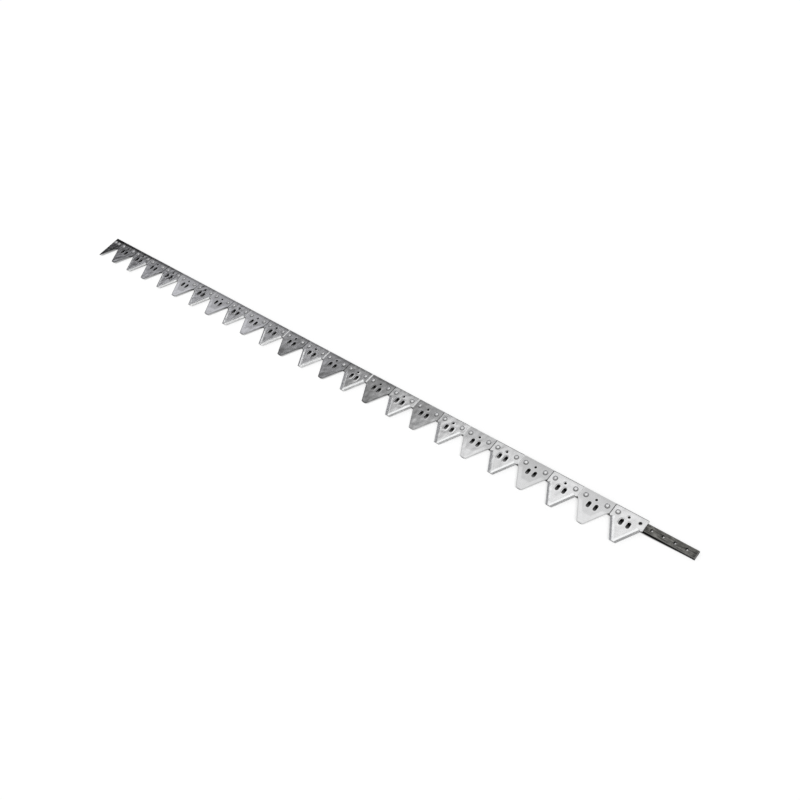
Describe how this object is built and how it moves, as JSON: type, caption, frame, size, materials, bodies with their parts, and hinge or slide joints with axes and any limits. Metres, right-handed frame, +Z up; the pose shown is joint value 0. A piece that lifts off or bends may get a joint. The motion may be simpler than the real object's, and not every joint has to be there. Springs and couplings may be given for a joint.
{
  "type": "mower sickle knife",
  "caption": "Mower sickle knife: a flat drilled knife back with a row of riveted, toothed triangular blade sections, a half section at one end and a bare bolting tail at the other.",
  "frame": {"origin": "middle of the knife's box on the underside of the knife back, where it rests", "axes": "+X along the knife towards the bare tail, -Y towards the blade points, +Z up from the bar to the sections"},
  "size_m": [1.9802, 0.0786, 0.0117],
  "materials": {
    "bar_steel": "dark hot-rolled flat bar",
    "blade_steel": "bright bare steel with ground bevels",
    "rivet_steel": "bright bare steel"
  },
  "bodies": {
    "root": {"knife_back": "bar_steel", "end_section": "blade_steel", "section_01": "blade_steel", "section_02": "blade_steel", "section_03": "blade_steel", "section_04": "blade_steel", "section_05": "blade_steel", "section_06": "blade_steel", "section_07": "blade_steel", "section_08": "blade_steel", "section_09": "blade_steel", "section_10": "blade_steel", "section_11": "blade_steel", "section_12": "blade_steel", "section_13": "blade_steel", "section_14": "blade_steel", "section_15": "blade_steel", "section_16": "blade_steel", "section_17": "blade_steel", "section_18": "blade_steel", "section_19": "blade_steel", "section_20": "blade_steel", "section_21": "blade_steel", "section_22": "blade_steel", "section_23": "blade_steel", "section_24": "blade_steel", "rivets": "rivet_steel"}
  },
  "joints": []
}
